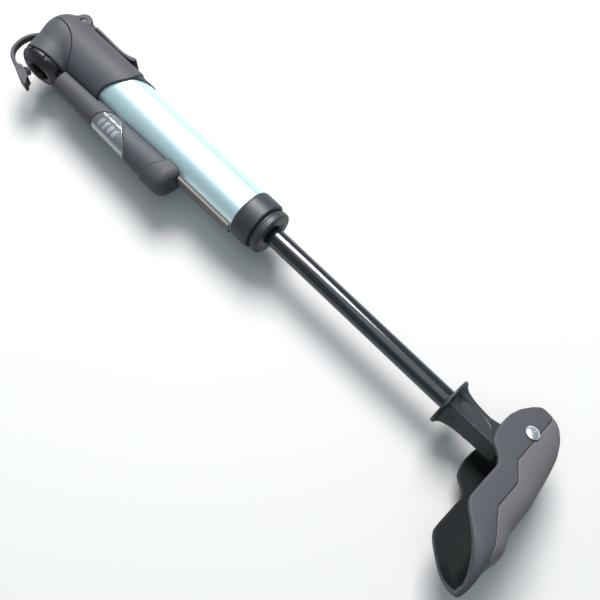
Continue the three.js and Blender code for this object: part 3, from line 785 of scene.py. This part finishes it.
strap_line = smooth_line([
    (-167.1, -8.2), (-169.6, -12.2), (-170.7, -17), (-169.9, -22.3), (-167.4, -25.8), (-163.6, -27.8),
    (-158, -28.8),
])
lid_outline = [
    (-159.4, -30.2), (-158.8, -27.2), (-156.6, -26.9), (-149.7, -29.1), (-148.9, -31), (-147.2, -32.2),
    (-147, -33.6), (-148.6, -33.5), (-152.5, -32.9),
]


def dust_cap(x, y, z):
    """A rubber strap that curls round to a wedge-shaped lid with a plug on it."""
    strap = shared(path(x, y, strap_line) - 0.95, np.abs(z) - 2.2, 0.8)
    lid = shared(outline(x, y, lid_outline), np.abs(z) - 3.6, 0.4)
    plug = shared(far(x - PLUG_X, z) - 2.2, slab(y, -30, -25.5), 0.4)
    rib = shared(far(x - PLUG_X, z) - 2.55, slab(y, -26.9, -26.2), 0.25)
    return melted(melted(strap, lid, 1), np.minimum(plug, rib), 0.5)


stands_for(moulded("dust_cap_and_strap", dust_cap, (-173, -35, -4.5), (-146, -6, 4.5), 0.26), "dust_cap")

# ---------------------------------------------------------------------------------------------
# Gauge
# ---------------------------------------------------------------------------------------------


def gauge_form(x, y, z, inset=0.0):
    """A tapered tube with a round end by the chuck."""
    share = (x - GAUGE_BACK_X) / (GAUGE_FRONT_X - GAUGE_BACK_X)
    radius = GAUGE_BACK_RADIUS + share * (GAUGE_FRONT_RADIUS - GAUGE_BACK_RADIUS) - inset
    side = far(y - GAUGE_Y, z) - radius
    return shared(side, GAUGE_BACK_X - x, 1)


window_outline = [
    (WINDOW_BACK_X, -30), (WINDOW_BACK_X, -22),
    *smooth_line([(-106.4, -18.8), (-103.8, -14.6), (-99.8, -11.7), (-96.5, -11.2), (-93.8, -12.6)], 5),
    (WINDOW_FRONT_X, -23.5), (WINDOW_FRONT_X, -30),
]


def window(x, y, z):
    return np.maximum(outline(x, y, window_outline), WINDOW_FLOOR - z)


def gauge_edge(x, y):
    """Past the slanting edge where the end cap begins."""
    return (x + 64.6 - 0.4 * (y - GAUGE_Y)) * 0.93


def gauge_housing(x, y, z):
    along, across = chuck_axes(x, y)
    form = shared(gauge_form(x, y, z), gauge_edge(x, y) + 0.15, 0.3)
    form = without(form, far(y, z) - BARREL_RADIUS - JOINT_GAP, 0.5)
    form = without(form, np.maximum(far(y, z) - HEAD_RADIUS - JOINT_GAP, x + 112), 0.4)
    form = without(form, np.maximum(far(across, z) - CHUCK_RADIUS - JOINT_GAP, -5 - along), 0.3)
    form = without(form, far(x - SEAM_X, y - SEAM_Y) - SEAM_RADIUS - 0.2, 0.3)
    bore = far(y - GAUGE_BORE_Y, z)
    form = np.maximum(form, -np.maximum(bore - GAUGE_BORE, GAUGE_BORE_BACK_X - x))
    return without(form, window(x, y, z), 0.3)


def gauge_lens(x, y, z):
    form = shared(gauge_form(x, y, z), window(x, y, z) + 0.25, 0.4)
    form = np.maximum(form, -gauge_form(x, y, z, LENS))
    form = np.maximum(form, BARREL_RADIUS + 1.2 - far(y, z))
    return np.maximum(form, GAUGE_BORE + 0.1 - far(y - GAUGE_BORE_Y, z))


def gauge_end_cap(x, y, z):
    """A round shoe that closes the gauge and saddles the barrel's side."""
    start = GAUGE_FRONT_X + 0.3
    dome = shared(far(y - GAUGE_Y, z) - 9.3, x - start - 10.2, 4.5)
    shoe = rounded_block(x - start - 3.4, y + 12.6, z, 6.6, 4.6, 7.4, 2.4)
    form = melted(dome, shoe, 2.5)
    form = shared(form, -gauge_edge(x, y) + 0.15, 0.4)
    form = without(form, far(y, z) - BARREL_RADIUS - JOINT_GAP, 0.4)
    rail = np.maximum(RAIL_BACK_X - SLIDE_GAP - x, np.abs(z) - RAIL_HALF - SLIDE_GAP)
    rail = np.maximum(rail, slab(y, -15, -10))
    form = np.maximum(form, -rail)
    bore = far(y - GAUGE_BORE_Y, z)
    return np.maximum(form, -np.maximum(bore - 2.1, slab(x, start - 8, start + 3)))


stands_for(moulded("gauge_body", gauge_housing, (-146, -27, -10), (-60, -3, 10), 0.36), "gauge_housing")
stands_for(moulded("gauge_window", gauge_lens, (-109, -27, -5), (-80, -9, 10), 0.28), "gauge_lens")
stands_for(moulded("gauge_shoe", gauge_end_cap, (-71, -28, -11), (-52, -6, 11), 0.34), "gauge_end_cap")

stands_for(turned("scale_sleeve", [
    (SCALE_BACK_X, SCALE_BORE), (SCALE_BACK_X, SCALE_RADIUS), (SCALE_FRONT_X, SCALE_RADIUS),
    (SCALE_FRONT_X, SCALE_BORE),
], ALONG_GAUGE, 0.15, 64), "gauge_scale_tube")
stands_for(turned("indicator_piston", [
    (-115.5, 0), (-115.5, 2.8), (-114.6, 2.8), (-114.6, 2.1), (-113.2, 2.1), (-113.2, 2.8), (-108.5, 2.8),
    (-108.5, 0),
], ALONG_GAUGE, 0.2, 64), "gauge_indicator")
stands_for(turned("indicator_ring_seal", [(-114.5, 2.2), (-114.5, 2.88), (-113.3, 2.88), (-113.3, 2.2)],
                  ALONG_GAUGE, 0.3, 64), "gauge_seal")
gauge_coil = stands_for(coil("indicator_coil", -108.2, -64.1, 2.2, 0.3, 10, ALONG_GAUGE), "gauge_spring")
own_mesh(gauge_coil)
valve_coil = stands_for(coil("check_valve_coil", -146.1, -144.2, 2, 0.2, 3, PUMP), "check_valve_spring")
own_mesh(valve_coil)

# ---------------------------------------------------------------------------------------------
# Barrel, side rail, end collar and guide cap
# ---------------------------------------------------------------------------------------------

stands_for(turned("barrel_skin", [
    (BARREL_BACK_X, BORE_RADIUS), (BARREL_BACK_X, BARREL_RADIUS), (BARREL_STEP_X, BARREL_RADIUS),
    (BARREL_STEP_X, THREAD_RADIUS), (BARREL_FRONT_X, THREAD_RADIUS), (BARREL_FRONT_X, BORE_RADIUS),
], radius=0.2, segments=160), "barrel_tube")


def side_rail(x, y, z):
    middle = (RAIL_BACK_X + BARREL_STEP_X - JOINT_GAP) / 2
    half = (BARREL_STEP_X - JOINT_GAP - RAIL_BACK_X) / 2
    form = rounded_block(x - middle, y + RAIL_RADIUS - 3, z, half, 3, RAIL_HALF, 0.4)
    return np.maximum(form, BARREL_RADIUS + FIT_GAP - far(y, z))


stands_for(moulded("flat_rail", side_rail, (-54, -15, -5.4), (-16, -10, 5.4), 0.3), "side_rail")

stands_for(turned("collar_nut", [
    (BARREL_STEP_X + 0.1, THREAD_RADIUS + FIT_GAP), (BARREL_STEP_X + 0.1, COLLAR_RADIUS - 0.3),
    (BARREL_STEP_X + 1.2, COLLAR_RADIUS), (-5.9, COLLAR_RADIUS), (-5.2, COLLAR_RADIUS - 0.7), (-5.2, 11.4),
    (-6.2, 11.4), (-6.2, THREAD_RADIUS + FIT_GAP),
], radius=0.45, segments=160), "end_collar")
stands_for(turned("rod_guide_cap", [
    (-12.4, 7.3), (-12.4, 11.1), (-3.9, 11.1), (-3.9, CAP_RADIUS - 0.6), (-3.3, CAP_RADIUS),
    (-0.5, CAP_RADIUS), (CAP_FRONT_X, CAP_RADIUS - 0.9), (CAP_FRONT_X, 7.4), (-0.2, 6.6), (-0.2, 5.5),
    (-0.5, 5.5), (-0.5, 7.3),
], radius=0.5, segments=160), "guide_cap")
stands_for(turned("wiper_ring", [(-3, 5.08), (-3, 7.2), (-0.7, 7.2), (-0.7, 5.6), (-1.2, 5.08)], radius=0.2),
           "rod_wiper")

# ---------------------------------------------------------------------------------------------
# Rod and neck, in the handle's frame
# ---------------------------------------------------------------------------------------------

stands_for(turned("rod_bar", [
    (-21.9, 0), (-21.9, 3), (-13, 3), (-13, ROD_RADIUS), (ROD_END_X, ROD_RADIUS),
    (ROD_END_X, ROD_BORE), (-8, ROD_BORE), (-8, 0),
], HANDLE, 0.3, 128), "rod_tube")


web_outline = [
    (NECK_X + 16, -NECK_HALF), (PIVOT_X - 1.5, -2.1), (PIVOT_X - 1.5, PIVOT_Y + EYE_RADIUS),
    (NECK_X + 20, NECK_HALF),
]


def handle_neck(x, y, z):
    """A flange that flares out of a square bar, with an oval pocket in its top and bottom faces."""
    past = x - NECK_X
    flange = shared(far(y, z) - FLANGE_RADIUS, slab(past, 0, 1.3), 0.4)
    half = NECK_HALF + 3.1 * np.exp(-np.maximum(past, 0) / 6) + 2.4 * np.exp(-np.maximum(past - 1, 0) / 0.9)
    square = far(np.maximum(np.abs(y) - half + 1, 0), np.maximum(np.abs(z) - half + 1, 0)) - 1
    square = np.maximum(square * 0.9, far(y, z) - FLANGE_RADIUS)
    bar = np.maximum(square, slab(past, 0.2, PIVOT_X - 4 - NECK_X))
    eye = shared(far(x - PIVOT_X, y - PIVOT_Y) - EYE_RADIUS, np.abs(z) - 5.6, 0.5)
    web = shared(outline(x, y, web_outline), np.abs(z) - NECK_HALF, 0.5)
    form = melted(np.minimum(flange, bar), np.minimum(eye, web), 0.6)
    middle = NECK_X + 12
    trough = far((x - middle) / 10.5, y / 3.4, (np.abs(z) - half - 0.9) / 3) - 1
    form = without(form, np.maximum(trough * 2.6, NECK_HALF - np.abs(z)), 0.3)
    rod_socket = np.maximum(far(y, z) - ROD_RADIUS - FIT_GAP, slab(x, NECK_X - 1, ROD_END_X + 0.2))
    form = np.maximum(form, -rod_socket)
    form = np.maximum(form, PIVOT_PIN_HOLE - far(x - PIVOT_X, y - PIVOT_Y))
    return np.maximum(form, NECK_PIN_HOLE - far(x - NECK_PIN_X, z))


stands_for(moulded("flared_neck", handle_neck, (115, -13, -13), (160, 13, 13), 0.36, HANDLE), "handle_neck")
NECK_PIN_AXIS = HANDLE @ Matrix.Translation((NECK_PIN_X, 0, 0)) @ Matrix.Rotation(math.pi / 2, 4, "Z")
stands_for(turned("neck_cross_pin", [
    (-6.6, 0), (-6.6, NECK_PIN_RADIUS), (6.6, NECK_PIN_RADIUS), (6.6, 0),
], NECK_PIN_AXIS, 0.3, 48), "neck_pin")

# ---------------------------------------------------------------------------------------------
# Handle, in its own frame
# ---------------------------------------------------------------------------------------------

# Along the handle from its short end to its spoon tip: distance from the rod's axis, front edge, back,
# half width.
stations = np.array([
    (-22.5, 149.6, 158.6, 15), (-20.5, 148, 162.4, 17.6), (-16, 145, 166, 18.8), (-9.5, 141.4, 168.8, 19),
    (-3, 139.7, 170, 19), (4, 139.5, 171, 19), (11, 140.6, 171.8, 19), (14.5, 142, 172.2, 19),
    (17.8, 147.2, 172.5, 19), (21.5, 149.8, 172.8, 19), (34, 149.7, 172.8, 19), (39, 149.7, 173, 19),
    (44.5, 149.9, 175.2, 18.9), (48, 152, 176, 18.8), (51, 155, 175.6, 18.7), (54, 158.3, 174.4, 18.5),
    (57, 161.3, 174, 17.9), (60, 164.2, 173.9, 16.5), (63, 167.2, 174, 14), (65.5, 169.6, 174.2, 10.8),
    (67.5, 171.2, 174.2, 7.3), (69, 172, 174.1, 3.4),
])


def along_handle(n, column, softness=1.2):
    """A station value at distance n, with the corners between stations softened."""
    near = [np.interp(n + shift * softness, stations[:, 0], stations[:, column])
            for shift in (-1, -0.4, 0.4, 1)]
    return sum(near) / len(near)


def handle_bar(x, y, z):
    """The D-shaped bar that the handle is cut from, open towards the front."""
    n = np.clip(-y, stations[0, 0], stations[-1, 0])
    front, back, half = (along_handle(n, column) for column in (1, 2, 3))
    deep = np.maximum(x - front, 0) / (back - front)
    wide = np.abs(z) / half
    size = (deep ** D_POWER + wide ** D_POWER + 1e-9) ** (1 / D_POWER)
    return (size - 1) * np.minimum(back - front, half)


def evened(shape, reach=0.1):
    """The same surface, with the distance to it measured in millimetres."""
    def even(x, y, z):
        dx, dy, dz = (shape(x + a, y + b, z + c) - shape(x - a, y - b, z - c)
                      for a, b, c in reach * np.eye(3))
        return shape(x, y, z) * 2 * reach / np.maximum(far(dx, dy, dz), reach / 4)
    return even


even_bar = evened(handle_bar)
grip_outline = [
    (154.9, -30), (154.9, 12.7), (160.8, 21.6), (160.8, 38), (169.9, 52), (171.6, 57.5), (190, 57.5),
    (190, -30),
]


def handle_outside(x, y, z):
    return shared(even_bar(x, y, z), slab(-y, stations[0, 0], stations[-1, 0]), 1.2)


def lugs(x, y, z, outside):
    post = far(x - PIVOT_X, y - PIVOT_Y) - LUG_RADIUS
    post = np.maximum(post, slab(np.abs(z), NECK_HALF + 0.5, HANDLE_HALF - WALL + 0.5))
    return shared(post, outside + GRIP, 0.4)


def handle_shell(x, y, z):
    outside = handle_outside(x, y, z)
    zone = outline(x, -y, grip_outline)
    front = (along_handle(-y, 1) - x) * 0.8
    recess = np.maximum(zone - 0.15, -outside - GRIP - 0.3)
    form = without(outside, recess, 0.15)
    cavity = np.maximum(outside + WALL, slab(-y, -20.6, 67.9))
    form = without(form, cavity, 0.5)
    form = shared(form, front, 0.7)
    form = np.minimum(form, lugs(x, y, z, outside))
    return np.maximum(form, PIVOT_PIN_HOLE - far(x - PIVOT_X, y - PIVOT_Y))


def grip_panel(x, y, z):
    outside = handle_outside(x, y, z)
    form = shared(outside, outline(x, -y, grip_outline) + 0.15, 0.3)
    form = np.maximum(form, -outside - GRIP)
    return np.maximum(form, PIVOT_PIN_HOLE - far(x - PIVOT_X, y - PIVOT_Y))


handle_corners = (138.5, -70.5, -20), (177, 24, 20)
trough_handle = moulded("trough_handle", handle_shell, *handle_corners, 0.5, HANDLE)
stands_for(trough_handle, "handle_shell")
# The trough's inside faces take the near-black finish: painted shade in the handle's hollow.
tinted(trough_handle, trough_inside_painted_shade, lambda x, y, z: handle_outside(x, y, z) < 0.4 - WALL, HANDLE)
stands_for(moulded("palm_grip", grip_panel, *handle_corners, 0.45, HANDLE), "grip_panel")

PIVOT_AXIS = HANDLE @ Matrix.Translation((PIVOT_X, PIVOT_Y, 0)) @ Matrix.Rotation(-math.pi / 2, 4, "Y")
PIN_BASE = HANDLE_HALF + 0.1
dome = [
    (PIN_BASE, 3.5), (PIN_BASE + 0.5, 3.45), (PIN_BASE + 1.1, 2.6), (PIN_BASE + 1.45, 1.2),
    (PIN_BASE + 1.5, 0),
]
stands_for(turned("hinge_rivet", [
    (-HANDLE_HALF, 0), (-HANDLE_HALF, PIVOT_PIN_RADIUS), (PIN_BASE, PIVOT_PIN_RADIUS), *dome,
], PIVOT_AXIS, 0.4), "pivot_pin")
stands_for(turned("hinge_rivet_cap", [(PIN_BASE, 0), *dome],
                  PIVOT_AXIS @ Matrix.Rotation(math.pi, 4, "Z"), 0.4), "pivot_cap")

# ---------------------------------------------------------------------------------------------
# Inner pieces that keep their CAD shapes
# ---------------------------------------------------------------------------------------------

shown_by_mesh = {node for thing in bpy.data.objects for node in thing.get("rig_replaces", [])}
for node, thing in frame["nodes"].items():
    if node not in shown_by_mesh:
        thing.data.materials.clear()
        thing.data.materials.append(finishes[slot_of[node]])

# ---------------------------------------------------------------------------------------------
# Studio
# ---------------------------------------------------------------------------------------------


def studio_floor():
    floor = add_mesh("studio_floor", np.array([(-3000, -3000, 0), (3000, -3000, 0), (3000, 3000, 0),
                                               (-3000, 3000, 0)], float), [(0, 1, 2, 3)], Matrix.Identity(4))
    finish = Finish("pale_floor", Roughness=0.9, Specular_IOR_Level=0.1)
    finish.colour(finish.mixed(finish.noise(3, 2), (0.4, 0.403, 0.405), (0.42, 0.42, 0.42)))
    floor.data.materials.append(finish.material)


def softbox(name, direction, away, size, power, colour=(1, 1, 1)):
    """A square lamp that faces the middle of the pump."""
    lamp = bpy.data.lights.new(name, "AREA")
    lamp.shape = "SQUARE"
    lamp.size = size
    lamp.energy = power
    lamp.color = colour
    thing = bpy.data.objects.new(name, lamp)
    ray = Vector(direction).normalized()
    thing.location = tube_middle + ray * away
    thing.rotation_euler = ray.to_track_quat("Z", "Y").to_euler()
    bpy.context.scene.collection.objects.link(thing)


def surroundings(colour, strength):
    world = bpy.data.worlds.new("studio")
    world.use_nodes = True
    sky = world.node_tree.nodes["Background"]
    sky.inputs["Color"].default_value = (*colour, 1)
    sky.inputs["Strength"].default_value = strength
    bpy.context.scene.world = world


def main_camera():
    """Above and beside the handle's end of the barrel, looking down at the whole pump."""
    data = bpy.data.cameras.new("camera")
    data.lens = 54
    data.sensor_width = 36
    data.clip_start = 0.01
    thing = bpy.data.objects.new("camera", data)
    place = Vector(CAMERA_PLACE)
    back = place - Vector(CAMERA_AIM)
    turn = back.to_track_quat("Z", "Y").to_matrix().to_4x4() @ Matrix.Rotation(CAMERA_ROLL, 4, "Z")
    thing.matrix_world = Matrix.Translation((PUMP @ place) * MM) @ turn
    bpy.context.scene.collection.objects.link(thing)
    bpy.context.scene.camera = thing


studio_floor()
softbox("key", (-0.3, 0.42, 0.85), 1.2, 0.6, 38, (1, 0.975, 0.97))
softbox("top", (0.1, -0.1, 1), 1.6, 1.4, 12, (0.95, 0.98, 1))
surroundings((0.7, 0.91, 1), 0.36)
main_camera()
bpy.context.scene.view_settings.view_transform = "Standard"
